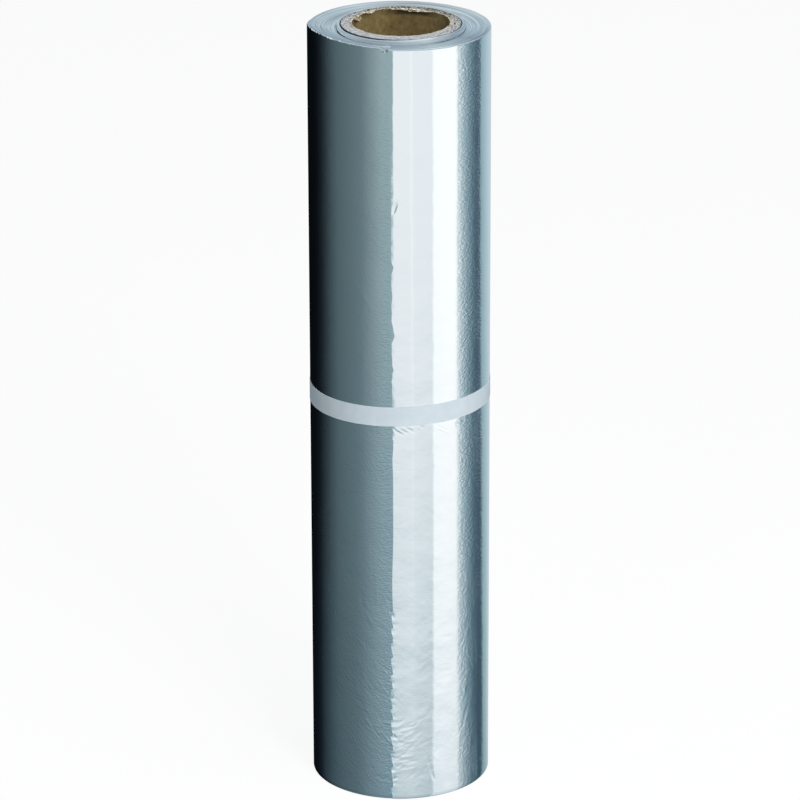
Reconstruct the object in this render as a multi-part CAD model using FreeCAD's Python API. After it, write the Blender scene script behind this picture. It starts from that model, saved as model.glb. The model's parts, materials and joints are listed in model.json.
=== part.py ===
import FreeCAD, Part
import math
import os

# A roll of aluminium foil standing on its end: foil wound tight on a card core and held
# shut by a plain paper band. Millimetres, +Z up the roll, origin under its middle. The
# front of the roll faces -Y, and angles run anticlockwise from +X, seen from above.

# Foil
foil_width = 300.0  # the strip's width, so the height of the winding
foil_thickness = 0.02
roll_diameter = 68.5
face_dish = 0.75  # how far the upper face sinks from its rim towards the core
upper_rings = 9  # bands of turns that show as rings on the upper face
lower_rings = 4  # the lower face has settled level on what it stands on
ring_step = 0.11  # unevenness from one ring to the next

# Innermost turns, which slid up together with the core
inner_turns_wall = 1.6
inner_turns_rise = 0.4  # above the rim
gap_width = 0.35  # dark gaps beside these turns, at their widest
gap_depth = 1.25  # below the dished face
gap_drift = 0.12  # the gaps lie off centre, so they open and close round the roll
outer_gap_side = 200.0  # where each gap is widest
inner_gap_side = 230.0

# Loose free end of the foil
tail_angle = 264.0  # where the last turn ends, just left of the front
tail_spread = 42.0  # how far round the last turn stands off
tail_lift_top = 0.3
tail_lift_bottom = 0.18
tail_droop = 0.3  # share of its lift that the last turn keeps half way round
nick_offset = 2.7  # crumpled nick in the upper rim, this many degrees left of the free end
nick_width = 1.8
nick_depth = 1.0

# Card core
core_bore = 36.6
core_wall = 4.1
core_rise = 0.6  # cut edge above the rim
core_shift = 0.7  # core off the middle of the roll, towards +X
torn_wall = 1.3  # thickness of the inner plies that are torn up round the bore
torn_rise = 0.5
tear_count = 9
tear_depth = 0.45
tear_width = 4.2
tear_variation = 0.45  # how much the tears differ in place, width and depth

# Paper band
band_width = 7.5
band_offset = 7.8  # its middle above the middle of the roll
band_thickness = 0.2
band_tilt = 1.05  # degrees, higher towards +X
pasted_side = 90.0  # middle of the pasted overlap, at the back
pasted_spread = 26.0

overrun = 5.0  # cutting shapes reach this far past what they cut

roll_radius = roll_diameter / 2
bore_radius = core_bore / 2
core_radius = bore_radius + core_wall
inner_turns_radius = core_radius + inner_turns_wall
inner_turns_top = foil_width + inner_turns_rise
core_top = foil_width + core_rise
band_height = foil_width / 2 + band_offset
band_radius = roll_radius + foil_thickness

origin = FreeCAD.Vector(0, 0, 0)
up = FreeCAD.Vector(0, 0, 1)
core_axis = FreeCAD.Vector(core_shift, 0, 0)


def polar(radius, angle, z=0):
    a = math.radians(angle)
    return FreeCAD.Vector(radius * math.cos(a), radius * math.sin(a), z)


def uneven(index):
    """A fixed sequence between -1 and 1 with no rhythm to it."""
    return math.sin(2.4 * index + 1.0)


def rod(radius, low, high, axis=origin):
    return Part.makeCylinder(radius, high - low, axis + up * low)


def tube(inner, outer, low, high, axis=origin):
    return rod(outer, low, high, axis).cut(rod(inner, low - overrun, high + overrun, axis))


# Foil winding

def lapped_outline(z, lift):
    """Section of the roll: a circle, with the last turn standing off it up to its end."""
    tail_foot = polar(roll_radius, tail_angle, z)
    tail_tip = polar(roll_radius + lift, tail_angle, z)
    lap_middle = polar(roll_radius + tail_droop * lift, tail_angle + tail_spread / 2, z)
    lap_start = polar(roll_radius, tail_angle + tail_spread, z)
    far_side = polar(roll_radius, tail_angle + tail_spread / 2 + 180, z)
    lap = Part.Arc(tail_tip, lap_middle, lap_start).toShape()
    rest = Part.Arc(lap_start, far_side, tail_foot).toShape()
    step = Part.LineSegment(tail_foot, tail_tip).toShape()
    return Part.Wire([lap, rest, step])


def wound_turns():
    """The turns from end to end: loose at both ends, pinched flat where the band goes round."""
    half = band_width / 2 + roll_radius * math.tan(math.radians(band_tilt)) + foil_thickness
    sections = [
        lapped_outline(0, tail_lift_bottom),
        lapped_outline(band_height - half, foil_thickness),
        lapped_outline(band_height + half, foil_thickness),
        lapped_outline(inner_turns_top, tail_lift_top),
    ]
    stretches = [Part.makeLoft(list(pair), True, True) for pair in zip(sections, sections[1:])]
    return stretches[0].fuse(stretches[1:])


def face_cutter(rings, dish):
    """What lies beyond a stepped end face, whose rim is at z = 0."""
    ring_width = (roll_radius - inner_turns_radius) / rings
    points = [(roll_radius + overrun, overrun), (roll_radius + overrun, 0)]
    sink = 0
    for i in range(1, rings):
        step_radius = roll_radius - i * ring_width
        points.append((step_radius, -sink))
        sink = dish * i / (rings - 1) + ring_step * (1 + uneven(i)) / 2
        points.append((step_radius, -sink))
    points += [(core_radius, -sink), (core_radius, overrun)]
    corners = [FreeCAD.Vector(radius, 0, z) for radius, z in points]
    return Part.Face(Part.makePolygon(corners + corners[:1])).revolve(origin, up, 360)


def turn_gap(radius, widest_side):
    """A narrow gap between turns, open at the top."""
    floor = foil_width - face_dish - gap_depth
    drift = polar(gap_drift, widest_side)
    outside = rod(radius + gap_width - gap_drift, floor, core_top + overrun, core_axis + drift)
    return outside.cut(rod(radius, floor, core_top + overrun, core_axis))


def rim_nick():
    corners = [
        FreeCAD.Vector(roll_radius - nick_depth, 0, foil_width),
        FreeCAD.Vector(roll_radius, 0, foil_width - nick_depth),
        FreeCAD.Vector(roll_radius + overrun, 0, foil_width - nick_depth),
        FreeCAD.Vector(roll_radius + overrun, 0, foil_width + overrun),
        FreeCAD.Vector(roll_radius - nick_depth, 0, foil_width + overrun),
    ]
    nick = Part.Face(Part.makePolygon(corners + corners[:1])).extrude(FreeCAD.Vector(0, nick_width, 0))
    nick.translate(FreeCAD.Vector(0, -nick_width / 2, 0))
    nick.rotate(origin, up, tail_angle - nick_offset)
    return nick


def foil_winding():
    upper_face = face_cutter(upper_rings, face_dish)
    upper_face.translate(up * foil_width)
    lower_face = face_cutter(lower_rings, 0)
    lower_face.rotate(origin, FreeCAD.Vector(1, 0, 0), 180)
    well = rod(inner_turns_radius, -overrun, core_top + overrun, core_axis)
    outer_gap = turn_gap(inner_turns_radius, outer_gap_side)
    outer_turns = wound_turns().cut([upper_face, lower_face, rim_nick(), well, outer_gap])
    inner_turns = tube(core_radius, inner_turns_radius, 0, inner_turns_top, core_axis)
    inner_turns = inner_turns.cut(turn_gap(core_radius, inner_gap_side))
    return outer_turns.fuse(inner_turns).removeSplitter()


# Card core

def tear(index):
    """One V-shaped tear down through the torn plies."""
    angle = 360 / tear_count * (index + tear_variation * uneven(index))
    depth = tear_depth * (1 + tear_variation * uneven(index + 1))
    half = tear_width / 2 * (1 + tear_variation * uneven(index + 2))
    lip = core_top + torn_rise
    inside = bore_radius / 2
    corners = [
        FreeCAD.Vector(inside, -half, lip),
        FreeCAD.Vector(inside, half * uneven(index + 3), lip - depth),
        FreeCAD.Vector(inside, half, lip),
        FreeCAD.Vector(inside, half, lip + overrun),
        FreeCAD.Vector(inside, -half, lip + overrun),
    ]
    reach = FreeCAD.Vector(core_radius - inside, 0, 0)
    cutter = Part.Face(Part.makePolygon(corners + corners[:1])).extrude(reach)
    cutter.rotate(origin, up, angle)
    cutter.translate(core_axis)
    return cutter


def core_tube():
    body = tube(bore_radius, core_radius, 0, core_top, core_axis)
    torn_plies = tube(bore_radius, bore_radius + torn_wall, 0, core_top + torn_rise, core_axis)
    return body.fuse(torn_plies).cut([tear(i) for i in range(tear_count)]).removeSplitter()


# Paper band

def paper_band():
    low = band_height - roll_diameter
    high = band_height + roll_diameter
    strip = tube(band_radius, band_radius + band_thickness, low, high)
    pasted_end = tube(band_radius, band_radius + 2 * band_thickness, low, high)
    sector = Part.makeCylinder(roll_diameter, high - low, up * low, up, pasted_spread)
    sector.rotate(origin, up, pasted_side - pasted_spread / 2)
    side = 2 * roll_diameter
    slab = Part.makeBox(side, side, band_width, FreeCAD.Vector(-side / 2, -side / 2, -band_width / 2))
    slab.rotate(origin, FreeCAD.Vector(0, 1, 0), -band_tilt)
    slab.translate(up * band_height)
    return strip.fuse(pasted_end.common(sector)).common(slab).removeSplitter()


def main():
    os.makedirs("parts", exist_ok=True)
    for make in (core_tube, foil_winding, paper_band):
        shape = make()
        box = shape.BoundBox
        print(make.__name__, "solids", len(shape.Solids), "valid", shape.isValid())
        print("  volume %.1f" % shape.Volume, "from z %.2f to %.2f" % (box.ZMin, box.ZMax))
        shape.exportStep("parts/" + make.__name__ + ".step")


main()
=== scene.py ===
import json
import math
import random

import bpy
import numpy as np
from mathutils import Matrix, Vector, noise


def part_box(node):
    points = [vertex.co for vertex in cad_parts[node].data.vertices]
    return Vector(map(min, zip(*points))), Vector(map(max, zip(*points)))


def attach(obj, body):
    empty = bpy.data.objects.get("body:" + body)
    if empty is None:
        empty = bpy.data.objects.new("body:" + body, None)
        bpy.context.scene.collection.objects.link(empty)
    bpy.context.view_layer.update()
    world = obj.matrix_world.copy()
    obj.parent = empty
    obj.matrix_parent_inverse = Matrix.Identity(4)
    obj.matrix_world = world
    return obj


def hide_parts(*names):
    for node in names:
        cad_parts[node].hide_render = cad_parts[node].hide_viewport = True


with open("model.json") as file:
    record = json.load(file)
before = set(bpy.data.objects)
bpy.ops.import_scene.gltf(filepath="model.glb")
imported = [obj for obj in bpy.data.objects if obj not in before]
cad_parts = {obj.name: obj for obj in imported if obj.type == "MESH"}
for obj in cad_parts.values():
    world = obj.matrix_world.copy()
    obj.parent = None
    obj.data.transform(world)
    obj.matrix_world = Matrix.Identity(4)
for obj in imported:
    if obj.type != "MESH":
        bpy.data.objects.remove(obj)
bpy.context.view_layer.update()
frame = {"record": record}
mm = 0.001

print("frame loaded")

# The roll's own sizes, read from the frame
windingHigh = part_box("foil_winding")[1]
coreLow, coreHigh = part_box("core_tube")
bandLow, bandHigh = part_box("paper_band")
boreMount = next(m for m in frame["record"]["mounts"] if m["name"] == "core_bore")

roll = {
    "radius": 34.25 * mm,  # below the lift of the loose end
    "width": 300.0 * mm,  # of the foil, from the lower end to the rim
    "innerRadius": (coreHigh[0] - coreLow[0]) / 2,  # the core fills this
    "coreX": boreMount["pos_m"][0],
    "boreRadius": boreMount["dims"]["r_mm"] * mm,
    "coreTop": coreHigh[2],
    "innerTurnsTop": windingHigh[2],
    "bandMiddle": (bandLow[2] + bandHigh[2]) / 2,
}


# Small helpers

def deselectAll():
    bpy.ops.object.select_all(action="DESELECT")


def hexColour(code):
    channels = [int(code[i:i + 2], 16) / 255 for i in (1, 3, 5)]
    linear = [c / 12.92 if c <= 0.04045 else ((c + 0.055) / 1.055) ** 2.4 for c in channels]
    return (*linear, 1.0)


def addNode(tree, kind, inputs=None, **settings):
    # an input takes a plain value, a socket, or a node, and then that node's first output in use
    node = tree.nodes.new(kind)
    for name, value in settings.items():
        setattr(node, name, value)
    for name, value in (inputs or {}).items():
        if isinstance(value, bpy.types.Node):
            value = next(socket for socket in value.outputs if socket.enabled)
        if isinstance(value, bpy.types.NodeSocket):
            tree.links.new(value, node.inputs[name])
        else:
            node.inputs[name].default_value = value
    return node


def setStops(ramp, stops):
    elements = ramp.color_ramp.elements
    while len(elements) > 1:
        elements.remove(elements[0])
    elements[0].position = stops[0][0]
    elements[0].color = stops[0][1]
    for position, colour in stops[1:]:
        elements.new(position).color = colour


def smooth(x, low, high):
    t = np.clip((x - low) / (high - low), 0, 1)
    return t * t * (3 - 2 * t)


def wallChain(name, points):
    # one point, extruded from place to place into the outline of a wall
    deselectAll()
    bpy.ops.mesh.primitive_plane_add(size=mm)
    piece = bpy.context.object
    piece.name = piece.data.name = name
    bpy.ops.object.mode_set(mode="EDIT")
    bpy.ops.mesh.select_all(action="SELECT")
    bpy.ops.mesh.merge(type="CENTER")
    bpy.ops.transform.translate(value=points[0])
    for here, there in zip(points, points[1:]):
        step = Vector(there) - Vector(here)
        bpy.ops.mesh.extrude_vertices_move(TRANSFORM_OT_translate={"value": step})
    bpy.ops.mesh.select_all(action="SELECT")
    return piece


def turnWall(stretches, centre=(0, 0, 0)):
    # the chain is turned round the roll, finely in some stretches and coarsely in others
    for degrees, steps in stretches:
        bpy.ops.mesh.spin(steps=steps, angle=math.radians(degrees), center=centre, axis=(0, 0, 1))
    bpy.ops.mesh.select_all(action="SELECT")
    bpy.ops.mesh.remove_doubles(threshold=0.002 * mm)
    bpy.ops.mesh.normals_make_consistent(inside=False)
    bpy.ops.object.mode_set(mode="OBJECT")


def getPoints(piece):
    flat = np.empty(len(piece.data.vertices) * 3)
    piece.data.vertices.foreach_get("co", flat)
    return flat.reshape(-1, 3)


def setPoints(piece, points):
    piece.data.vertices.foreach_set("co", points.ravel())
    piece.data.update()


def finishPiece(piece, node):
    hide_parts(node)
    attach(piece, "root")


# Camera, as the photograph has it: a long lens, looking down a little

camera = {
    "distance": 1.6875,  # from the roll's axis
    "height": 0.785,
    "tilt": 20.57,  # degrees down
    "roll": -0.14,
    "lens": 212.4,
}


def makeCamera():
    bpy.ops.object.camera_add()
    eye = bpy.context.object
    eye.data.lens = camera["lens"]
    eye.data.sensor_width = 36
    eye.data.clip_end = 20
    place = Matrix.Translation((0, -camera["distance"], camera["height"]))
    tilt = Matrix.Rotation(math.radians(90 - camera["tilt"]), 4, "X")
    eye.matrix_world = place @ tilt @ Matrix.Rotation(math.radians(camera["roll"]), 4, "Z")
    bpy.context.scene.camera = eye


# Studio: foil shows what stands round it, so the world holds soft boxes and dark flags,
# given by their bearing from the front in degrees, right positive, as the foil gives them back

studio = {
    # as foil near the rim gives them back, and as foil near the foot does, whose flags right of
    # "widen" are given by their bearings at the rim
    "high": [
        (-180, "#06090c"), (-139, "#060a0d"), (-127, "#0b0f13"), (-117, "#171d22"), (-107, "#273237"),
        (-85, "#4b5d62"), (-49, "#607379"), (-34, "#7b8e91"), (-22, "#8da1a4"), (-7.6, "#90a5aa"),
        (-6.8, "#dfe7eb"), (-3, "#e4e9ec"), (14.5, "#e4e9ec"), (16.5, "#eef2f4"), (18.5, "#e3e8ec"),
        (42.9, "#e2e8eb"), (44, "#f8fbfc"), (73, "#fafcfb"), (77.9, "#eef5f6"), (79.7, "#abbdc4"),
        (88, "#97adb7"), (97, "#76929c"), (105, "#576c7b"), (112, "#3d4f60"), (120.3, "#485c6a"),
        (122.7, "#849fa7"), (133, "#98b1bb"), (148, "#aec0c9"), (180, "#b5c6cc"),
    ],
    "low": [
        (-180, "#06090c"), (-141, "#0c1015"), (-128, "#161e26"), (-91, "#475a61"), (-61, "#556870"),
        (-27, "#768c98"), (-13, "#72909f"), (-7.6, "#7793a2"), (-6.8, "#bccdd3"), (-4, "#c4d2d6"),
        (12, "#cdd8dc"), (43, "#bccace"), (44.2, "#e6eef1"), (60, "#ebeff3"), (83.5, "#e4ebed"),
        (87.3, "#c6d6db"), (90.4, "#93aeb6"), (95.4, "#6f8b96"), (101.5, "#5c7482"),
        (107.6, "#3f525f"), (120.1, "#3c525e"), (122.3, "#859fa6"), (142.6, "#b1c3c7"),
    ],
    "depth": (-0.297, -0.407),  # how steeply down the foil looks at the rim and at the foot
    "change": 2.4,  # most of the change between them lies near the foot
    "widen": (88, 0.33),  # the flags right of this bearing narrow by this share from foot to rim
    "foot": "#dbe3e6",  # and how much duller still it is at the very foot
    "footDepth": (-0.412, -0.432),
    "foilShare": 0.82,  # what the foil gives back of what it sees
    "rise": [
        (0.0, "#7d8d99"), (0.16, "#a1b3be"), (0.31, "#b5c6ce"), (0.47, "#c0ced4"), (0.8, "#fafcfd"),
    ],
    "horizon": (-0.05, 0.08),  # the boxes give way to the ceiling between these heights
    "ground": "#7c8a92",
    "below": (-0.6, -0.8),  # and to the ground between these
    "softShare": 0.45,  # for matt surfaces
    "key": 24.5,
    "top": 7.0,
    "fill": 3.0,
}


def roundRamp(tree, share, stops):
    # colours by direction, in degrees from -180 to 180
    ramp = addNode(tree, "ShaderNodeValToRGB", {"Fac": share})
    setStops(ramp, [((degrees + 180) / 360, hexColour(code)) for degrees, code in stops])
    return ramp


def roundShare(tree, first, second):
    # where a direction lies between -180 and 180 degrees, as a share
    turn = addNode(tree, "ShaderNodeMath", {0: first, 1: second}, operation="ARCTAN2")
    return addNode(tree, "ShaderNodeMapRange", {"Value": turn, "From Min": -math.pi, "From Max": math.pi})


def makeStudio():
    world = bpy.data.worlds.new("studio")
    bpy.context.scene.world = world
    world.use_nodes = True
    tree = world.node_tree
    tree.nodes.clear()
    place = addNode(tree, "ShaderNodeTexCoord")
    axes = addNode(tree, "ShaderNodeSeparateXYZ", {0: place.outputs["Generated"]})
    behind = addNode(tree, "ShaderNodeMath", {0: axes.outputs["Y"], 1: -1.0}, operation="MULTIPLY")
    bearing = roundShare(tree, axes.outputs["X"], behind)
    depth = addNode(tree, "ShaderNodeMapRange", {
        "Value": axes.outputs["Z"], "From Min": studio["depth"][0], "From Max": studio["depth"][1]})
    start, share = studio["widen"]
    beyond = addNode(tree, "ShaderNodeMath", {0: bearing, 1: (start + 180) / 360}, operation="SUBTRACT")
    right = addNode(tree, "ShaderNodeMath", {0: beyond, 1: 0.0}, operation="MAXIMUM")
    lower = addNode(tree, "ShaderNodeMath", {0: depth, 1: -share}, operation="MULTIPLY")
    placed = addNode(tree, "ShaderNodeMath", {0: right, 1: lower, 2: bearing}, operation="MULTIPLY_ADD")
    change = addNode(tree, "ShaderNodeMath", {0: depth, 1: studio["change"]}, operation="POWER")
    high, low = [roundRamp(tree, placed, studio[name]) for name in ("high", "low")]
    panels = addNode(tree, "ShaderNodeMix", {0: change, 6: high, 7: low}, data_type="RGBA")
    deep = addNode(tree, "ShaderNodeMapRange", {
        "Value": axes.outputs["Z"], "From Min": studio["footDepth"][0],
        "From Max": studio["footDepth"][1]})
    shade = addNode(tree, "ShaderNodeMix", {0: deep, 6: (1, 1, 1, 1), 7: hexColour(studio["foot"])},
                    data_type="RGBA")
    boxes = addNode(tree, "ShaderNodeVectorMath", {0: panels, 1: shade}, operation="MULTIPLY")

    # above the horizon the boxes give way to a ceiling that gets brighter overhead
    ceiling = addNode(tree, "ShaderNodeValToRGB", {"Fac": axes.outputs["Z"]})
    setStops(ceiling, [(height, hexColour(code)) for height, code in studio["rise"]])
    over, under = [
        addNode(tree, "ShaderNodeMapRange", {"Value": axes.outputs["Z"], "From Min": a, "From Max": b},
                interpolation_type="SMOOTHSTEP") for a, b in (studio["horizon"], studio["below"])]
    upper = addNode(tree, "ShaderNodeMix", {0: over, 6: boxes, 7: ceiling}, data_type="RGBA")
    seen = addNode(tree, "ShaderNodeMix", {0: under, 6: upper, 7: hexColour(studio["ground"])},
                   data_type="RGBA")

    path = addNode(tree, "ShaderNodeLightPath")
    bright, soft = [addNode(tree, "ShaderNodeVectorMath", {0: seen, "Scale": scale}, operation="SCALE")
                    for scale in (1 / studio["foilShare"], studio["softShare"])]
    lit = addNode(tree, "ShaderNodeMix", {0: path.outputs["Is Glossy Ray"], 6: soft, 7: bright},
                  data_type="RGBA")
    shown = addNode(tree, "ShaderNodeMix", {0: path.outputs["Is Camera Ray"], 6: lit, 7: (1, 1, 1, 1)},
                    data_type="RGBA")
    light = addNode(tree, "ShaderNodeBackground", {"Color": shown, "Strength": 1.0})
    addNode(tree, "ShaderNodeOutputWorld", {"Surface": light})


def addLamp(name, place, target, size, power):
    bpy.ops.object.light_add(type="AREA", location=place)
    lamp = bpy.context.object
    lamp.name = name
    lamp.data.shape = "DISK"
    lamp.data.size = size
    lamp.data.energy = power
    lamp.rotation_euler = (Vector(target) - Vector(place)).to_track_quat("-Z", "Y").to_euler()
    lamp.visible_glossy = False  # the foil sees the world's soft boxes instead


def makeFloor():
    bpy.ops.mesh.primitive_plane_add(size=8, location=(0, 0, -0.05 * mm))
    floor = bpy.context.object
    floor.name = "floor"
    floor.visible_glossy = False
    material = bpy.data.materials.new("palePaperFloor")
    material.use_nodes = True
    tree = material.node_tree
    tree.nodes.clear()
    path = addNode(tree, "ShaderNodeLightPath")
    # nearly white to the camera, and dull enough not to light the roll from below
    toCamera = path.outputs["Is Camera Ray"]
    colour = addNode(tree, "ShaderNodeMix", {0: toCamera, 6: hexColour("#8f9499"), 7: hexColour("#f7f7f7")},
                     data_type="RGBA")
    matt = addNode(tree, "ShaderNodeBsdfDiffuse", {"Color": colour})
    white = addNode(tree, "ShaderNodeEmission", {"Color": (1, 1, 1, 1), "Strength": 1.0})
    part = addNode(tree, "ShaderNodeMath", {0: toCamera, 1: 0.9}, operation="MULTIPLY")
    blend = addNode(tree, "ShaderNodeMixShader", {0: part, 1: matt, 2: white})
    addNode(tree, "ShaderNodeOutputMaterial", {"Surface": blend})
    floor.data.materials.append(material)


bpy.context.scene.view_settings.view_transform = "Standard"
makeCamera()
makeStudio()
addLamp("keyLamp", (0.66, -1.42, 1.2), (0, 0, 0.15), 0.7, studio["key"])
addLamp("topLamp", (0.4, -0.2, 1.6), (0, 0, 0.3), 0.8, studio["top"])
addLamp("fillLamp", (-0.75, -1.45, 0.8), (0, 0, 0.15), 0.6, studio["fill"])
makeFloor()
print("camera and studio made")


# Materials

def newMaterial(name):
    material = bpy.data.materials.new(name)
    material.use_nodes = True
    tree = material.node_tree
    tree.nodes.clear()
    shader = addNode(tree, "ShaderNodeBsdfPrincipled")
    addNode(tree, "ShaderNodeOutputMaterial", {"Surface": shader})
    place = addNode(tree, "ShaderNodeTexCoord")
    return material, tree, shader, place.outputs["Object"]


foil = {
    # how slack the last turn is, by its direction in degrees from +X
    "slack": [
        (-180, "#505050"), (-150, "#505050"), (-132, "#606060"), (-120, "#6a6a6a"), (-107, "#767676"),
        (-96.4, "#989898"), (-95, "#303030"), (-91, "#202020"), (-51, "#202020"), (-48.5, "#f4f4f4"),
        (-31, "#e8e8e8"), (-28, "#707070"), (0, "#707070"), (20, "#909090"), (180, "#808080"),
    ],
    "pebbles": (720, 720, 1750),  # cells 1.4 mm round the roll and 0.6 mm up
    "pebbleDepth": 0.36 * mm,
    # Two kinds of handling crease: radians of twist in a metre of height, how fine it is along the
    # roll, the heights it comes in between, its strength, and where it is in degrees from +X
    "folds": [
        (22.0, 210, 0.22, 0.05, 1.0, [
            (-180, "#808080"), (-150, "#a0a0a0"), (-126, "#e0e0e0"), (-99, "#e8e8e8"), (-96, "#606060"),
            (-52, "#404040"), (-49, "#181818"), (-30, "#181818"), (-27, "#707070"), (0, "#909090"),
            (180, "#909090")]),
        (-45.0, 400, 0.045, 0.02, 0.42, [
            (-180, "#404040"), (-130, "#585858"), (-112, "#a0a0a0"), (-98, "#c8c8c8"), (-88, "#b0b0b0"),
            (-80, "#7c7c7c"), (-66, "#303030"), (-51, "#202020"), (-46, "#585858"), (-28, "#484848"),
            (180, "#404040")]),
    ],
    "foldDepth": 0.17 * mm,
    "lines": (100, 100, 2500),  # rolling lines 0.4 mm apart and 10 mm long
}


def rolledFoil():
    # Household aluminium foil, cold rolled between polished rolls: mirror bright across the
    # rolling lines, which run round the roll and smear what it shows up and down.
    material, tree, shader, place = newMaterial("rolledFoil")
    shader.inputs["Base Color"].default_value = hexColour("#edeff0")
    shader.inputs["Metallic"].default_value = 1.0
    shader.inputs["Roughness"].default_value = 0.09
    shader.inputs["Anisotropic"].default_value = 0.85
    shader.inputs["Anisotropic Rotation"].default_value = 0.25
    tangent = addNode(tree, "ShaderNodeTangent", direction_type="RADIAL", axis="Z")
    tree.links.new(tangent.outputs[0], shader.inputs["Tangent"])

    # broad unevenness 15 mm across
    axes = addNode(tree, "ShaderNodeSeparateXYZ", {0: place})
    broad = addNode(tree, "ShaderNodeTexNoise", {"Vector": place, "Scale": 65.0, "Detail": 3.0})
    soft = addNode(tree, "ShaderNodeBump", {"Height": broad, "Strength": 1.0, "Distance": 0.15 * mm})
    # the turns below print through as flat pebbles, where this one isn't pulled tight: in patches,
    # and more so towards the foot of the roll
    around = roundShare(tree, axes.outputs["Y"], axes.outputs["X"])
    slack = roundRamp(tree, around, foil["slack"])
    patches = addNode(tree, "ShaderNodeTexNoise", {"Vector": place, "Scale": 40.0, "Detail": 3.0})
    foot = addNode(tree, "ShaderNodeMapRange", {
        "Value": axes.outputs["Z"], "From Min": 0.02, "From Max": 0.27, "To Min": 1.5, "To Max": 1.1})
    patch = addNode(tree, "ShaderNodeMath", {0: patches, 1: foot}, operation="MULTIPLY")
    loose = addNode(tree, "ShaderNodeMath", {0: patch, 1: slack}, operation="MULTIPLY")
    cells = addNode(tree, "ShaderNodeMapping", {"Vector": place, "Scale": foil["pebbles"]})
    pebbles = addNode(tree, "ShaderNodeTexNoise", {"Vector": cells, "Scale": 1.0, "Detail": 3.0})
    normal = addNode(tree, "ShaderNodeBump", {
        "Height": pebbles, "Strength": loose, "Distance": foil["pebbleDepth"], "Normal": soft})
    # handling creases, which run slantwise round the roll and bend: falling to the right over
    # most of it, and rising to the right at its foot
    bends = addNode(tree, "ShaderNodeTexNoise", {"Vector": place, "Scale": 110.0, "Detail": 1.0})
    bend = addNode(tree, "ShaderNodeMath", {0: bends, 1: 0.2}, operation="MULTIPLY")
    here = addNode(tree, "ShaderNodeMapRange", {"Value": patch, "From Min": 0.35, "From Max": 0.8})
    for turn, fineness, high, low, strength, places in foil["folds"]:
        twist = addNode(tree, "ShaderNodeMath", {0: axes.outputs["Z"], 1: turn, 2: bend},
                        operation="MULTIPLY_ADD")
        helix = addNode(tree, "ShaderNodeVectorRotate", {"Vector": place, "Angle": twist},
                        rotation_type="Z_AXIS")
        cells = addNode(tree, "ShaderNodeMapping", {"Vector": helix, "Scale": (900, 900, fineness)})
        folds = addNode(tree, "ShaderNodeTexNoise", {"Vector": cells, "Scale": 1.0, "Detail": 2.0})
        ridge = addNode(tree, "ShaderNodeMath", {0: folds, 1: 0.5}, operation="SUBTRACT")
        sharp = addNode(tree, "ShaderNodeMath", {0: ridge}, operation="ABSOLUTE")
        where = addNode(tree, "ShaderNodeMapRange", {
            "Value": axes.outputs["Z"], "From Min": high, "From Max": low, "To Max": strength})
        held = addNode(tree, "ShaderNodeMath", {0: roundRamp(tree, around, places), 1: here},
                       operation="MULTIPLY")
        amount = addNode(tree, "ShaderNodeMath", {0: where, 1: held}, operation="MULTIPLY")
        normal = addNode(tree, "ShaderNodeBump", {
            "Height": sharp, "Strength": amount, "Distance": foil["foldDepth"], "Normal": normal})
    cells = addNode(tree, "ShaderNodeMapping", {"Vector": place, "Scale": foil["lines"]})
    lines = addNode(tree, "ShaderNodeTexNoise", {"Vector": cells, "Scale": 1.0, "Detail": 3.0})
    fine = addNode(tree, "ShaderNodeBump", {
        "Height": lines, "Strength": 0.25, "Distance": 0.02 * mm, "Normal": normal})
    tree.links.new(fine.outputs[0], shader.inputs["Normal"])
    return material


def roundPlace(tree, place):
    # distance from the axis and direction from it, for patterns that run round the roll
    axes = addNode(tree, "ShaderNodeSeparateXYZ", {0: place})
    flat = addNode(tree, "ShaderNodeCombineXYZ", {"X": axes.outputs["X"], "Y": axes.outputs["Y"]})
    return [addNode(tree, "ShaderNodeVectorMath", {0: flat}, operation=operation)
            for operation in ("LENGTH", "NORMALIZE")]


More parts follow.
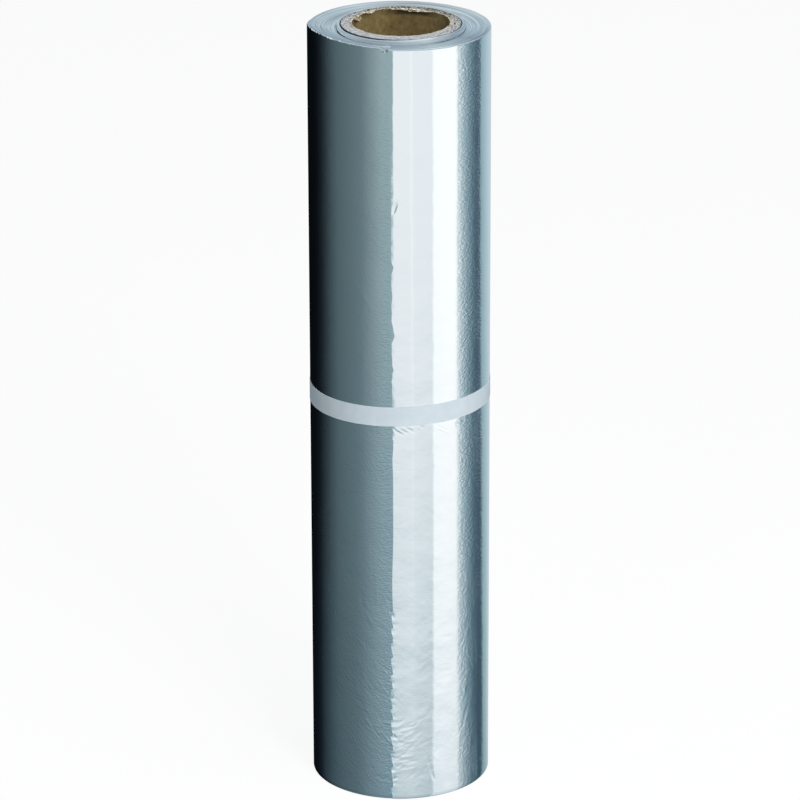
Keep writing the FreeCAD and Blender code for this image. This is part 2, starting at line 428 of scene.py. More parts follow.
def foilCutEdges():
    # The slit edges of some three thousand turns of foil, pressed level: a satin disc of
    # fine rings, duller than the sheet, with painted reflection shading that is darker and lighter by
    # direction.
    material, tree, shader, place = newMaterial("foilCutEdges")
    shader.inputs["Metallic"].default_value = 1.0
    shader.inputs["Roughness"].default_value = 0.36
    shader.inputs["Anisotropic"].default_value = 0.5
    shader.inputs["Anisotropic Rotation"].default_value = 0.25
    tangent = addNode(tree, "ShaderNodeTangent", direction_type="RADIAL", axis="Z")
    tree.links.new(tangent.outputs[0], shader.inputs["Tangent"])
    reach, direction = roundPlace(tree, place)
    # rings 0.6 mm apart with finer ones between, each a pack of turns, and none quite the same
    # all the way round
    swerve = addNode(tree, "ShaderNodeVectorMath", {0: direction, "Scale": 0.9}, operation="SCALE")
    across = addNode(tree, "ShaderNodeMath", {0: reach, 1: 1700.0}, operation="MULTIPLY")
    ringPlace = addNode(tree, "ShaderNodeCombineXYZ", {"Z": across})
    ringAt = addNode(tree, "ShaderNodeVectorMath", {0: ringPlace, 1: swerve}, operation="ADD")
    rings = addNode(tree, "ShaderNodeTexNoise", {
        "Vector": ringAt, "Scale": 1.0, "Detail": 3.0, "Roughness": 0.6})
    dull = addNode(tree, "ShaderNodeValToRGB", {"Fac": rings})
    setStops(dull, [
        (0.32, hexColour("#a4aeb6")), (0.5, hexColour("#dfe6e9")), (0.68, hexColour("#f6f9fa"))])
    # painted reflection shading by direction, in degrees from +X: the disc is darker in some directions and
    # lighter in others
    toward = addNode(tree, "ShaderNodeSeparateXYZ", {0: direction})
    shade = roundRamp(tree, roundShare(tree, toward.outputs["Y"], toward.outputs["X"]), [
        (-180, "#ffffff"), (-150, "#dde3ea"), (-120, "#bfc7cd"), (-92, "#d3dae1"), (-62, "#ffffff"),
        (-30, "#c0c9d2"), (0, "#f2f6f8"), (30, "#f8f9fa"), (62, "#e4e7e7"), (88, "#d3d7d8"),
        (120, "#e8ebee"), (150, "#dfe4e7"), (180, "#ffffff")])
    colour = addNode(tree, "ShaderNodeVectorMath", {0: dull, 1: shade}, operation="MULTIPLY")
    tree.links.new(colour.outputs[0], shader.inputs["Base Color"])
    bump = addNode(tree, "ShaderNodeBump", {"Height": rings, "Strength": 0.8, "Distance": 0.08 * mm})
    tree.links.new(bump.outputs[0], shader.inputs["Normal"])
    return material


def kraftCard():
    # The core's inner ply: unbleached kraft card, faint fibres and specks, quite matt.
    material, tree, shader, place = newMaterial("kraftCard")
    shader.inputs["Roughness"].default_value = 0.85
    mottle = addNode(tree, "ShaderNodeTexNoise", {
        "Vector": place, "Scale": 480.0, "Detail": 6.0, "Roughness": 0.65})
    ramp = addNode(tree, "ShaderNodeValToRGB", {"Fac": mottle})
    setStops(ramp, [
        (0.3, hexColour("#6d5d3c")), (0.5, hexColour("#84734d")), (0.7, hexColour("#95845d"))])
    # painted shade: the bore's wall is darker towards the back and lighter at the sides, by direction, as
    # light falls into it
    axes = addNode(tree, "ShaderNodeSeparateXYZ", {0: place})
    around = roundShare(tree, axes.outputs["Y"], axes.outputs["X"])
    paintedBoreShade = roundRamp(tree, around, [
        (-180, "#f4f2ee"), (0, "#ffffff"), (36, "#ffffff"), (54, "#ece9e4"), (72, "#c9c5bd"),
        (92, "#cbc7be"), (112, "#e2dfd8"), (145, "#f4f2ee"), (180, "#f4f2ee")])
    colour = addNode(tree, "ShaderNodeVectorMath", {0: ramp, 1: paintedBoreShade}, operation="MULTIPLY")
    # painted shadow: the wall is darkened nearly black close under the torn plies at the back, where they
    # hang over it
    tops = addNode(tree, "ShaderNodeMapRange", {
        "Value": axes.outputs["Z"], "From Min": roll["coreTop"] - 2.4 * mm,
        "From Max": roll["coreTop"] - 1.5 * mm})
    below = roundRamp(tree, around, [
        (-180, "#000000"), (40, "#000000"), (58, "#e0e0e0"), (90, "#e0e0e0"), (108, "#606060"),
        (124, "#303030"), (134, "#909090"), (150, "#909090"), (165, "#000000")])
    paintedShadow = addNode(tree, "ShaderNodeMath", {0: tops, 1: below}, operation="MULTIPLY")
    wall = addNode(tree, "ShaderNodeMix", {0: paintedShadow, 6: colour, 7: hexColour("#1f1b12")},
                   data_type="RGBA")
    # the outside, which the first turns of foil are glued to, is painted dark: painted shade along the line
    # where the core rises above the foil
    centred = addNode(tree, "ShaderNodeMapping", {"Vector": place, "Location": (-roll["coreX"], 0, 0)})
    reach = roundPlace(tree, centred)[0]
    outer = roll["innerRadius"]
    paintedShadeLine = addNode(tree, "ShaderNodeMapRange", {
        "Value": reach, "From Min": outer - 1 * mm, "From Max": outer - 0.3 * mm})
    card = addNode(tree, "ShaderNodeMix", {0: paintedShadeLine, 6: wall, 7: hexColour("#45494c")}, data_type="RGBA")
    tree.links.new(card.outputs[2], shader.inputs["Base Color"])
    fibres = addNode(tree, "ShaderNodeTexNoise", {"Vector": place, "Scale": 1800.0, "Detail": 4.0})
    bump = addNode(tree, "ShaderNodeBump", {"Height": fibres, "Strength": 0.5, "Distance": 0.1 * mm})
    tree.links.new(bump.outputs[0], shader.inputs["Normal"])
    return material


def cutBoard():
    # The core's sawn end: grey recycled board whose plies run round it, burnished smooth at
    # the front and pitted at the back, with loose fibres.
    material, tree, shader, place = newMaterial("cutGreyBoard")
    shader.inputs["Roughness"].default_value = 0.9
    centred = addNode(tree, "ShaderNodeMapping", {"Vector": place, "Location": (-roll["coreX"], 0, 0)})
    reach, direction = roundPlace(tree, centred)
    # plies 0.4 mm thick, with fibres 2 mm long beside them
    across = addNode(tree, "ShaderNodeMath", {0: reach, 1: 2500.0}, operation="MULTIPLY")
    along = addNode(tree, "ShaderNodeVectorMath", {0: direction, "Scale": 11.0}, operation="SCALE")
    plyPlace = addNode(tree, "ShaderNodeCombineXYZ", {"Z": across})
    plyAt = addNode(tree, "ShaderNodeVectorMath", {0: plyPlace, 1: along}, operation="ADD")
    plies = addNode(tree, "ShaderNodeTexNoise", {"Vector": plyAt, "Scale": 1.0, "Detail": 3.0})
    ramp = addNode(tree, "ShaderNodeValToRGB", {"Fac": plies})
    setStops(ramp, [
        (0.3, hexColour("#898987")), (0.5, hexColour("#b0b2b5")), (0.75, hexColour("#cdcdca"))])
    # pits 0.7 mm across, painted dark as painted shade in them, most of them at the back and on the right
    axes = addNode(tree, "ShaderNodeSeparateXYZ", {0: place})
    grain = addNode(tree, "ShaderNodeTexNoise", {
        "Vector": place, "Scale": 1100.0, "Detail": 4.0, "Roughness": 0.65})
    limit = addNode(tree, "ShaderNodeMapRange", {
        "Value": axes.outputs["Y"], "From Min": -0.012, "From Max": 0.016, "To Min": 0.38, "To Max": 0.54})
    side = addNode(tree, "ShaderNodeMapRange", {
        "Value": axes.outputs["X"], "From Min": -0.02, "From Max": 0.02, "To Min": -0.05, "To Max": 0.01})
    limits = addNode(tree, "ShaderNodeMath", {0: limit, 1: side})
    pits = addNode(tree, "ShaderNodeMath", {0: grain, 1: limits}, operation="SUBTRACT")
    clear = addNode(tree, "ShaderNodeMapRange", {"Value": pits, "From Min": -0.03, "From Max": 0.05})
    sawn = addNode(tree, "ShaderNodeMix", {0: clear, 6: hexColour("#4c473a"), 7: ramp},
                   data_type="RGBA")
    # the inner plies are kraft, and pale where they are torn
    torn = addNode(tree, "ShaderNodeValToRGB", {"Fac": grain})
    setStops(torn, [
        (0.38, hexColour("#5f5645")), (0.5, hexColour("#a69b84")), (0.6, hexColour("#dbd2bf"))])
    bore = roll["boreRadius"]
    onLip = addNode(tree, "ShaderNodeMapRange", {
        "Value": reach, "From Min": bore + 0.3 * mm, "From Max": bore + 1.1 * mm, "To Min": 1.0,
        "To Max": 0.0})
    atBack = addNode(tree, "ShaderNodeMapRange", {
        "Value": axes.outputs["Y"], "From Min": -0.016, "From Max": 0.004, "To Min": 0.25})
    kraft = addNode(tree, "ShaderNodeMath", {0: onLip, 1: atBack}, operation="MULTIPLY")
    colour = addNode(tree, "ShaderNodeMix", {0: kraft, 6: sawn, 7: torn}, data_type="RGBA")
    tree.links.new(colour.outputs[2], shader.inputs["Base Color"])
    bump = addNode(tree, "ShaderNodeBump", {"Height": grain, "Strength": 0.7, "Distance": 0.2 * mm})
    tree.links.new(bump.outputs[0], shader.inputs["Normal"])
    return material


def plainPaper():
    # Uncoated wood-free paper in a cool white: matt, with a faint cloudy look-through.
    material, tree, shader, place = newMaterial("uncoatedPaper")
    shader.inputs["Roughness"].default_value = 0.8
    clouds = addNode(tree, "ShaderNodeTexNoise", {"Vector": place, "Scale": 250.0, "Detail": 5.0})
    ramp = addNode(tree, "ShaderNodeValToRGB", {"Fac": clouds})
    setStops(ramp, [(0.3, hexColour("#d3dde3")), (0.7, hexColour("#dbe4e9"))])
    tree.links.new(ramp.outputs[0], shader.inputs["Base Color"])
    fibres = addNode(tree, "ShaderNodeTexNoise", {"Vector": place, "Scale": 3000.0, "Detail": 3.0})
    bump = addNode(tree, "ShaderNodeBump", {"Height": fibres, "Strength": 0.3, "Distance": 0.03 * mm})
    tree.links.new(bump.outputs[0], shader.inputs["Normal"])
    return material


materials = {
    "foil": rolledFoil(),
    "edges": foilCutEdges(),
    "kraft": kraftCard(),
    "board": cutBoard(),
    "paper": plainPaper(),
}
print("materials made")


# Foil winding

winding = {
    "tail": 264.0,  # degrees, where the last turn ends
    "tailSpread": 42.0,
    # heights in mm with how far the last turn stands off there: least under the band
    "lift": [
        (0, 0.16), (14, 0.18), (60, 0.09), (146, 0.07), (153, 0.03), (163, 0.03), (172, 0.08),
        (240, 0.2), (300, 0.3),
    ],
    # heights in mm with the share of its lift by which its very edge bends back down
    "edgeDroop": [(0, 0.0), (100, 0.05), (150, 0.1), (300, 0.25)],
    "edgeWidth": 0.75 * mm,
    # heights in mm with how many degrees the cut edge wanders there
    "wander": [
        (0, 0.3), (21, 0.2), (45, 0.2), (77, 0.6), (110, 1.5), (141, 1.2), (195, 0.8), (240, 0.8),
        (270, 0.5), (300, 0.1),
    ],
    "wanderSpread": 8.0,
    # heights in mm with how many degrees its raggedness is there
    "ragged": [
        (0, 0.4), (8, 1.1), (70, 1.1), (92, 0.4), (155, 0.6), (222, 0.6), (230, 0.2), (300, 0.2),
    ],
    # its tongues that reach out to the right: height in mm of the tip, degrees, and mm down to it
    "tongues": [
        (216, 1.5, 3.5), (205.3, 1.0, 2.5), (189.3, 2.2, 7), (175.8, 1.2, 4), (146, 0.8, 4),
        (126, 0.7, 5),
    ],
    "teeth": (6.5, 105.0),  # mm from one tooth of the edge to the next, and mm up to where it has them
    # heights in mm with how many mm the last turn curls up at its edge, and how far in mm
    "curl": [
        (0, 0.07), (60, 0.06), (146, 0.05), (152, 0.012), (164, 0.012), (171, 0.05), (300, 0.04),
    ],
    "curlWidth": 1.0 * mm,
    # heights in mm with how many mm its edge is crinkled up and down there
    "crinkle": [
        (0, 0.06), (8, 0.12), (76, 0.12), (100, 0.05), (150, 0.02), (190, 0.03), (205, 0.07),
        (230, 0.02), (300, 0.02),
    ],
    "crinkleWidth": 1.2 * mm,
    "pinched": (153.6, 163),  # no creases between these heights in mm, under the band
    # degrees and steps round the roll, on from the last turn's edge: fine where it is creased
    "stretches": [
        (24, 72), (20, 24), (26, 80), (26, 20), (180, 36), (30, 14), (53.9, 66), (0.1, 1),
    ],
    # heights in mm with the rows up to them: fine where it is creased
    "rows": [
        (4, 3), (34, 66), (80, 52), (146, 12), (153.6, 23), (162, 3), (166, 3), (220, 36), (236, 5),
        (245, 14), (285, 9), (298, 14),
    ],
    "rimRows": 5,
    "rimBevel": 0.36 * mm,
    "footBevel": 0.12 * mm,
    "rimRagged": 0.13 * mm,
    # degrees with how many mm the outer turns stand proud of the others there
    "proud": [
        (165, 0), (180, 0.9), (195, 1.9), (215, 2.2), (235, 1.8), (257, 1.3), (263.8, 1.1),
        (264, 0.8), (300, 0.4), (330, 0.1), (345, 0),
    ],
    "proudWidth": 9.0 * mm,
    # degrees, mm round the rim with how far it is knocked in there, and how deep in mm
    "nick": (261.3, [(-1.0, 0), (-0.7, 1), (1.2, 0)], 1.0),
    "nickSlant": 0.45,  # mm that it runs to the left on its way down
    "nickSpread": 2.2,  # degrees
    "upperRings": 30,
    "lowerRings": 9,
    "dish": 0.75 * mm,
    "gapWidth": 0.35 * mm,
    # share of that width that stays open, how much it varies, and where it is widest in degrees
    "gapOpen": (0.66, 0.34, 200),
    "gapDepth": 1.1 * mm,
    "innerTurns": 1.6 * mm,
    # degrees with how many mm higher still the innermost turns stand there
    "slid": [
        (0, 0.6), (150, 0.6), (190, 0.45), (205, 0.3), (248, 0.3), (262, 0.5), (285, 0.7), (330, 0.7),
        (360, 0.6),
    ],
}

# Creases in the last turn. Each group says how many, where they start in degrees from the front
# and mm of height, which way they run in degrees from level, and their length, half width and
# depth in mm.
creases = [
    (26, (-5.8, 3), (12, 31), (0, 40), (2, 6), 0.4, 0.06),
    (22, (0, 18), (3, 34), (20, 60), (3, 9), 0.6, 0.024),
    (34, (-4, 17), (32, 72), (20, 45), (4, 10), 0.8, 0.014),
    (8, (-5.5, 1), (152.5, 154), (-50, -28), (2.5, 5), 0.35, 0.08),
    (9, (0, 13), (152.6, 154), (-45, -25), (2, 4), 0.35, 0.06),
    (2, (20.5, 22), (153.6, 154.2), (-36, -30), (6, 8), 0.35, 0.09),
    (7, (35, 44), (152.6, 154), (-50, -30), (2, 5), 0.35, 0.08),
    (1, (-37, -37), (215.6, 215.6), (-53, -53), (23, 23), 1.1, 0.05),
    (46, (39, 60), (1, 70), (68, 86), (5, 20), 0.35, 0.08),
    (5, (19, 28), (46, 80), (-3, 3), (6, 10), 0.45, 0.045),
    (34, (-30, -8), (25, 115), (-58, -25), (3, 10), 0.5, 0.06),
    (12, (37, 44), (4, 60), (40, 62), (2, 7), 0.4, 0.06),
    (1, (-5, -5), (237.6, 237.6), (68, 68), (5.6, 5.6), 0.45, 0.12),
    (1, (-4.4, -4.4), (237.8, 237.8), (66, 66), (5, 5), 0.4, 0.1),
    (1, (16.6, 16.6), (19, 19), (-77, -77), (14, 14), 0.5, 0.1),
    (16, (-20, -6), (6, 32), (-8, 40), (2, 6), 0.45, 0.07),
]


def windingOutline():
    rng = random.Random(7)
    width, outer = roll["width"], roll["radius"]
    core, gap = roll["innerRadius"], winding["gapWidth"]
    innerOuter = core + winding["innerTurns"]
    bevel, foot = winding["rimBevel"], winding["footBevel"]
    low = [(core, 0), (innerOuter, 0)]
    step = (outer - foot - innerOuter) / winding["lowerRings"]
    for i in range(1, winding["lowerRings"]):
        low.append((innerOuter + i * step, rng.uniform(0, 0.04) * mm))
    low.append((outer - foot, 0))
    low.append((outer - foot * 0.3, foot * 0.3))
    wall = [(outer, foot)]
    for top, count in winding["rows"] + [((width - bevel) / mm, winding["rimRows"])]:
        bottom = wall[-1][1]
        wall += [(outer, bottom + (top * mm - bottom) * (i + 1) / count) for i in range(count)]
    high = [(outer - bevel * 0.3, width - bevel * 0.25), (outer - bevel, width)]
    step = (outer - bevel - innerOuter - gap) / winding["upperRings"]
    for i in range(1, winding["upperRings"] + 1):
        sink = winding["dish"] * i / winding["upperRings"]
        high.append((outer - bevel - i * step, width - sink - rng.uniform(0, 0.09) * mm))
    face = width - winding["dish"]
    floor = face - winding["gapDepth"]
    high += [(innerOuter + gap * 0.8, face - 0.3 * mm), (innerOuter + gap * 0.7, floor)]
    high += [(innerOuter, floor), (innerOuter, face)]
    top = roll["innerTurnsTop"]
    high += [(innerOuter - 0.02 * mm, top - 0.2 * mm), (innerOuter - 0.15 * mm, top)]
    high += [(innerOuter - 0.5 * mm, top - 0.08 * mm), (innerOuter - 0.8 * mm, top + 0.03 * mm)]
    high += [(core + gap + 0.1 * mm, top - 0.03 * mm), (core + gap, top - 0.3 * mm)]
    high += [(core + gap * 0.8, face - 1 * mm), (core, face - 1 * mm)]
    closing = [(core, 150 * mm), (core, 0)]
    return low + wall + high + closing


def alongHeight(z, pairs):
    return np.interp(z / mm, [height for height, value in pairs], [value for height, value in pairs])


def creaseDepth(side, z):
    # side and z in mm over the wall, unrolled: tent shaped folds that taper to their ends
    rng = random.Random(11)
    depth = np.zeros_like(side)
    for count, sides, heights, runs, lengths, half, deepest in creases:
        for i in range(count):
            startSide = math.radians(rng.uniform(*sides)) * roll["radius"] / mm
            startHeight = rng.uniform(*heights)
            run = math.radians(rng.uniform(*runs))
            length = rng.uniform(*lengths)
            sign = 1 if rng.random() < 0.5 else -1
            bend = rng.uniform(-0.06, 0.06)
            along = (side - startSide) * math.cos(run) + (z - startHeight) * math.sin(run)
            across = (z - startHeight) * math.cos(run) - (side - startSide) * math.sin(run)
            share = along / length
            across = across - bend * length * share * share
            fold = np.clip(1 - np.abs(across) / half, 0, 1)
            taper = np.clip(share, 0, 1) * np.clip(1 - share, 0, 1)
            depth += sign * deepest * fold * 4 * taper * rng.uniform(0.5, 1)
    return depth


def edgeShape(height):
    # each tooth has its tip below, on the right
    tooth, highest = winding["teeth"]
    rough = noise.noise(Vector((height * 0.55, 3, 0))) + 0.6 * noise.noise(Vector((height * 1.3, 8, 0)))
    phase = height / tooth + 0.6 * noise.noise(Vector((height * 0.11, 5, 0)))
    share = min(1.0, max(0.0, (highest - height) / 12))
    return share * (0.9 - 1.8 * (phase % 1) + 0.4 * rough) + (1 - share) * rough


def tongueReach(height):
    # degrees; each narrows from its root above down to its tip, and ends short below it
    reach = 0
    for tip, size, length in winding["tongues"]:
        above = height - tip
        reach += size * max(0.0, min(1 - above / length, 1 + above / 1.3))
    return reach


def shapeWinding(piece):
    points = getPoints(piece)
    x, y, z = points.T
    reach = np.hypot(x, y)
    angle = np.degrees(np.arctan2(y, x)) % 360
    onWall = reach > roll["radius"] - 0.5 * winding["rimBevel"]
    arc = (angle - winding["tail"]) % 360

    # the last turn eases off the roll, and bends back down at its very edge
    share = np.clip(arc / winding["tailSpread"], 0, 1)
    edge = np.radians(arc) * roll["radius"] / winding["edgeWidth"]
    droop = alongHeight(z, winding["edgeDroop"]) * np.exp(-edge ** 2)
    lift = alongHeight(z, winding["lift"]) * mm * (1 - share) ** 2 * (1 - droop)
    crimped = np.array([
        noise.noise(Vector((h / mm * 0.5, 6, 0))) + 0.8 * noise.noise(Vector((h / mm * 1.1, 1, 0)))
        for h in z])
    reachIn = np.exp(-np.radians(arc) * roll["radius"] / winding["crinkleWidth"])
    lift = np.maximum(lift + alongHeight(z, winding["crinkle"]) * mm * crimped * reachIn, 0)
    curled = np.exp(-np.radians(arc) * roll["radius"] / winding["curlWidth"])
    lift += alongHeight(z, winding["curl"]) * mm * curled
    lift[arc > 359.9] = 0

    # creases, but for the pinched stretch under the band, fading before both ends
    side = ((angle - 270 + 180) % 360 - 180) * math.radians(1) * roll["radius"] / mm
    folds = creaseDepth(side, z / mm) * mm * smooth(z, 0.4 * mm, 2.5 * mm)
    low, high = winding["pinched"]
    folds *= 1 - (z > low * mm) * (z < high * mm)
    reach = reach + (lift + folds) * onWall

    # its cut edge wanders, and is ragged, with saw teeth towards the foot
    ragged = [edgeShape(h / mm) for h in z]
    tongues = np.array([tongueReach(h / mm) for h in z])
    size = alongHeight(z, winding["ragged"])
    away = np.minimum(arc, 360 - arc)
    near = np.clip(1 - away / winding["wanderSpread"], 0, 1) ** 2
    veryNear = np.clip(1 - away / 2.0, 0, 1)
    sideways = alongHeight(z, winding["wander"]) * near + (np.array(ragged) * size + tongues) * veryNear
    angle = angle + onWall * sideways

    # the gap beside the innermost turns closes up towards the right and the back
    gap, innerOuter = winding["gapWidth"], roll["innerRadius"] + winding["innerTurns"]
    inGap = (z > 290 * mm) & (reach > innerOuter + 0.1 * gap) & (reach < innerOuter + 1.1 * gap)
    mean, varied, widest = winding["gapOpen"]
    opened = mean + varied * np.cos(np.radians(angle - widest))
    reach = np.where(inGap, innerOuter + (reach - innerOuter) * opened, reach)
    points[:, 0] = reach * np.cos(np.radians(angle))
    points[:, 1] = reach * np.sin(np.radians(angle))

    # the rings drift from the rim's centre to the core's
    drift = 1 - smooth(reach, roll["innerRadius"] + winding["innerTurns"], roll["radius"])
    points[:, 0] += roll["coreX"] * drift * (reach < roll["radius"] - 0.01 * mm)
    proud = np.interp(angle, *zip(*winding["proud"])) * mm
    roughenRim(points, angle, reach, proud)
    outermost = smooth(reach, roll["radius"] - winding["proudWidth"], roll["radius"])
    points[:, 2] += proud * outermost * smooth(z, 275 * mm, 299 * mm)
    slid = np.interp(angle, *zip(*winding["slid"])) * mm
    points[:, 2] += slid * (z > roll["innerTurnsTop"] - 0.5 * mm) * (reach < roll["radius"] - 5 * mm)
    setPoints(piece, points)


def roughenRim(points, angle, reach, proud):
    # the outermost turns are ragged, most of all where they stand proud, and one spot, which slants
    # to the left on its way down, is knocked in
    middle, knocks, depth = winding["nick"]
    for i in np.nonzero((points[:, 2] > 298 * mm) & (reach > roll["radius"] - 1.5 * mm))[0]:
        top = min(1.0, (points[i, 2] - 298 * mm) / (2 * mm))
        a = math.radians(angle[i])
        p = Vector((math.cos(a), math.sin(a), 0)) * roll["radius"] / mm
        outer = min(1.0, max(0.0, 1 - (roll["radius"] - reach[i]) / (0.8 * mm)))
        wave = noise.noise(p * 0.5) + 0.9 * noise.noise(p * 1.1) + 0.5 * noise.noise(p * 2.3)
        points[i, 2] += winding["rimRagged"] * (1 + proud[i] / mm) * wave * top ** 3 * outer
        across = math.radians(angle[i] - middle) * roll["radius"] / mm + winding["nickSlant"] * (1 - top)
        knock = np.interp(across, *zip(*knocks))
        points[i, 2] -= 0.6 * depth * mm * knock * top ** 1.3 * outer
        points[i, :2] *= 1 - depth * mm * knock * top ** 0.2 / reach[i]


def makeWinding():
    outline = windingOutline()
    start = math.radians(winding["tail"])
    places = [(r * math.cos(start), r * math.sin(start), z) for r, z in outline]
    piece = wallChain("foilWinding", places)
    turnWall(winding["stretches"])
    shapeWinding(piece)
    piece.data.materials.append(materials["foil"])
    piece.data.materials.append(materials["edges"])
    for face in piece.data.polygons:
        inside = math.hypot(face.center.x, face.center.y) < roll["radius"] - 2 * mm
        turn = math.degrees(math.atan2(face.center.y, face.center.x)) % 360
        knocked = abs(turn - winding["nick"][0]) < winding["nickSpread"]
        onEdges = abs(face.normal.z) > 0.9 or ((inside or knocked) and face.normal.z > 0.3)
        face.material_index = 1 if onEdges else 0
    deselectAll()
    piece.select_set(True)
    bpy.context.view_layer.objects.active = piece
    bpy.ops.object.shade_smooth_by_angle(angle=math.radians(28))
    finishPiece(piece, "foil_winding")


makeWinding()
print("foil winding made")


# Card core

core = {
    "columns": 600,
    "wall": roll["innerRadius"] - roll["boreRadius"],
    "edgeTop": 301.2 * mm,
    "lipTop": roll["coreTop"] + 0.6 * mm,
    "lipWall": 1.3 * mm,  # the inner plies, torn up round the bore
    "lipDepth": 3.0 * mm,
    "lipFront": 0.12 * mm,  # how far the torn plies stand above the sawn edge, at the front
    "lipBack": 0.5 * mm,
    "lipUneven": 0.34 * mm,
    "overhang": 0.45 * mm,  # they lean in over the bore at the back
    # degrees with how many mm a strip of the torn plies hangs in and down over the bore there
    "sag": [
        (38, 0), (48, 0.35), (56, 0.8), (66, 1.15), (76, 1.2), (86, 0.85), (98, 0.6), (104, 0.2),
        (112, 0), (122, 0.2), (129, 1.0), (134, 0.9), (138, 0.2), (149, 0.4), (154, 1.5), (163, 1.5),
        (170, 0),
    ],
    "flakes": (152.0, 15.0),  # degrees, where they are torn into loose flakes, and their spread
    "pitDepth": 0.7 * mm,
}


def coreOutline():
    bore, outer = roll["boreRadius"], roll["innerRadius"]
    edge, lip = core["edgeTop"], core["lipTop"]
    low = lip - core["lipDepth"]
    lipEnd = bore + core["lipWall"]
    outline = [(bore + 0.3 * mm, 0), (bore, 0.3 * mm)]
    outline += [(bore, z * mm) for z in (150, 280, 290)]
    outline += [(bore, 290 * mm + (low - 290 * mm) * (i + 1) / 4) for i in range(4)]
    outline += [(bore, low + (lip - 0.1 * mm - low) * (i + 1) / 14) for i in range(14)]
    outline += [(bore + 0.12 * mm, lip), (bore + 0.35 * mm, lip), (bore + 0.55 * mm, lip - 0.03 * mm)]
    outline += [(bore + 0.55 * mm + (lipEnd - bore - 0.55 * mm) * (i + 1) / 5,
                 lip - 0.03 * mm + (edge - lip + 0.03 * mm) * (i + 1) / 5) for i in range(5)]
    outline += [(lipEnd + (outer - 0.1 * mm - lipEnd) * (i + 1) / 14, edge) for i in range(14)]
    outline += [(outer, z) for z in (edge - 0.12 * mm, edge - 1.0 * mm, 150 * mm, 0.3 * mm)]
    return outline + [(outer - 0.3 * mm, 0), (bore + 0.3 * mm, 0)]


def fray(point):
    # tears, pits and loose flakes of the cut end, roughest at the back and at the left
    bore, edge, lip = roll["boreRadius"], core["edgeTop"], core["lipTop"]
    x, y, z = point
    reach = math.hypot(x, y)
    angle = math.degrees(math.atan2(y, x)) % 360
    back = 0.5 + 0.5 * y / reach
    rough = 0.25 + 0.75 * back
    middle, spread = core["flakes"]
    flake = math.exp(-((angle - middle) / spread) ** 2)
    p = Vector(point) / mm
    p.z *= 0.3
    torn = noise.noise(p * 0.45) + 0.6 * noise.noise(p * 1.2) + 0.35 * noise.noise(p * 2.6)
    fine = noise.noise(p * 3.3 + Vector((5, 1, 0))) + 0.5 * noise.noise(p * 6.1)
    onLip = 1 - smooth(reach, bore + 0.7 * core["lipWall"], bore + core["lipWall"])
    rise = core["lipFront"] + (core["lipBack"] - core["lipFront"]) * back
    rise += core["lipUneven"] * (rough * torn + flake * (0.6 + 1.6 * fine))
    share = max(0.0, min(1.0, (z - lip + core["lipDepth"]) / core["lipDepth"]))
    dz = onLip * share ** 3 * (edge + rise - lip)
    lean = core["overhang"] * rough * (0.35 + 0.9 * max(0.0, torn) + 1.1 * flake * max(0.0, 0.5 + fine))
    sag = np.interp(angle, *zip(*core["sag"])) * mm * (1 + 0.35 * torn + 0.3 * fine)
    inmost = 1 - smooth(reach, bore + 0.2 * mm, bore + core["lipWall"])
    reach -= onLip * share ** 4 * lean + inmost * share ** 9 * sag
    dz -= inmost * share ** 9 * 0.8 * sag
    if z > edge - 0.5 * mm:
        pit = max(0.0, noise.noise(p * 1.3 + Vector((2, 7, 1))) + 0.5 * fine - 0.05)
        dz -= (1 - onLip) * core["pitDepth"] * rough * pit
        dz += 0.05 * mm * fine
    return reach * math.cos(math.radians(angle)), reach * math.sin(math.radians(angle)), z + dz


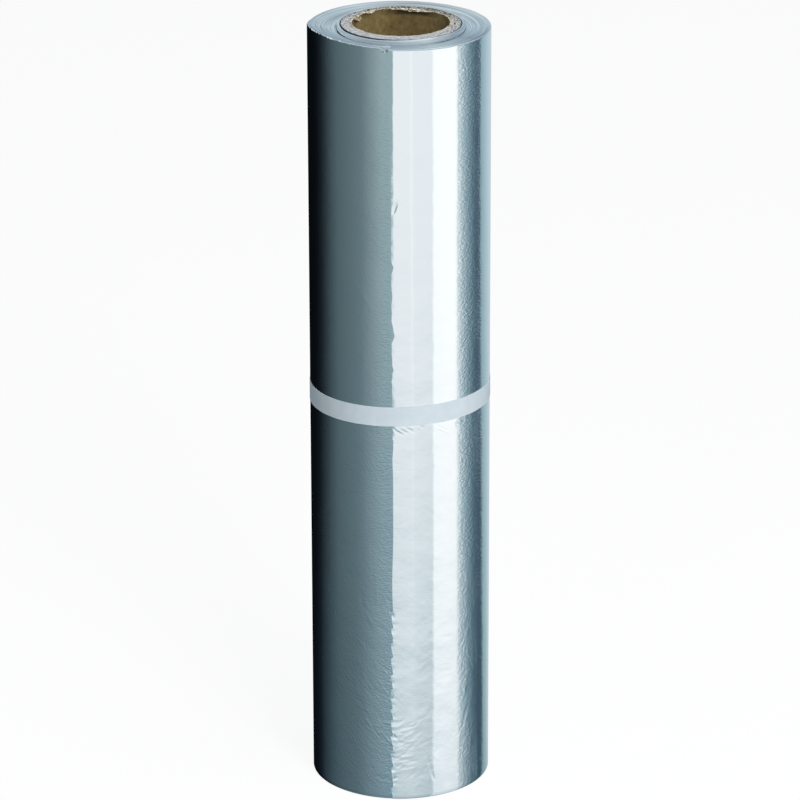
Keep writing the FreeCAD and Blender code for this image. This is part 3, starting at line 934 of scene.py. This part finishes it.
def makeCore():
    outline = coreOutline()
    piece = wallChain("coreTube", [(r, 0, z) for r, z in outline])
    turnWall([(360, core["columns"])])
    piece.data.materials.append(materials["kraft"])
    piece.data.materials.append(materials["board"])
    for face in piece.data.polygons:
        centre = face.center
        onEnd = centre.z > core["edgeTop"] - 0.6 * mm or centre.z < 0.2 * mm
        depth = math.hypot(centre.x, centre.y) - roll["boreRadius"]
        inWall = 0.02 * mm < depth < core["wall"] - 0.02 * mm
        face.material_index = 1 if onEnd and inWall else 0
    points = getPoints(piece)
    within = np.hypot(points[:, 0], points[:, 1]) < roll["innerRadius"] - 0.05 * mm
    for i in np.nonzero((points[:, 2] > core["lipTop"] - core["lipDepth"]) & within)[0]:
        points[i] = fray(points[i])
    points[:, 0] += roll["coreX"]
    setPoints(piece, points)
    deselectAll()
    piece.select_set(True)
    bpy.context.view_layer.objects.active = piece
    bpy.ops.object.shade_smooth_by_angle(angle=math.radians(40))
    finishPiece(piece, "core_tube")


makeCore()
print("card core made")


# Paper band: a flat strip, curled round the roll until its ends overlap at the back

band = {
    "width": 7.5 * mm,
    "thickness": 0.12 * mm,
    "clearance": 0.05 * mm,
    "glue": 0.02 * mm,
    "tilt": 1.05,  # degrees
    "pasted": 90.0,
    "overlap": 26.0,
    "slip": 0.35 * mm,  # the outer end sits a little lower than the one under it
    "columns": 300,
    "rows": 10,
}


def makeBand():
    deselectAll()
    bpy.ops.mesh.primitive_grid_add(
        x_subdivisions=band["columns"], y_subdivisions=band["rows"], size=1)
    piece = bpy.context.object
    piece.name = piece.data.name = "paperBand"
    points = getPoints(piece)
    turn = (points[:, 0] + 0.5) * (360 + band["overlap"])  # degrees from the hidden end
    angle = np.radians(band["pasted"] - band["overlap"] / 2 + turn)
    over = smooth(turn, 350, 360)
    reach = roll["radius"] + band["clearance"] + over * (band["thickness"] + band["glue"])
    tilt = reach * np.cos(angle) * math.tan(math.radians(band["tilt"]))
    slip = band["slip"] * smooth(turn, 200, 386)
    height = roll["bandMiddle"] + points[:, 1] * band["width"] + tilt - slip
    setPoints(piece, np.stack([reach * np.cos(angle), reach * np.sin(angle), height], axis=1))
    bpy.ops.object.modifier_add(type="SOLIDIFY")
    piece.modifiers[-1].thickness = band["thickness"]
    piece.modifiers[-1].offset = 1.0
    bpy.ops.object.modifier_apply(modifier=piece.modifiers[-1].name)
    bpy.ops.object.shade_smooth_by_angle(angle=math.radians(40))
    piece.data.materials.append(materials["paper"])
    finishPiece(piece, "paper_band")


makeBand()
print("paper band made")
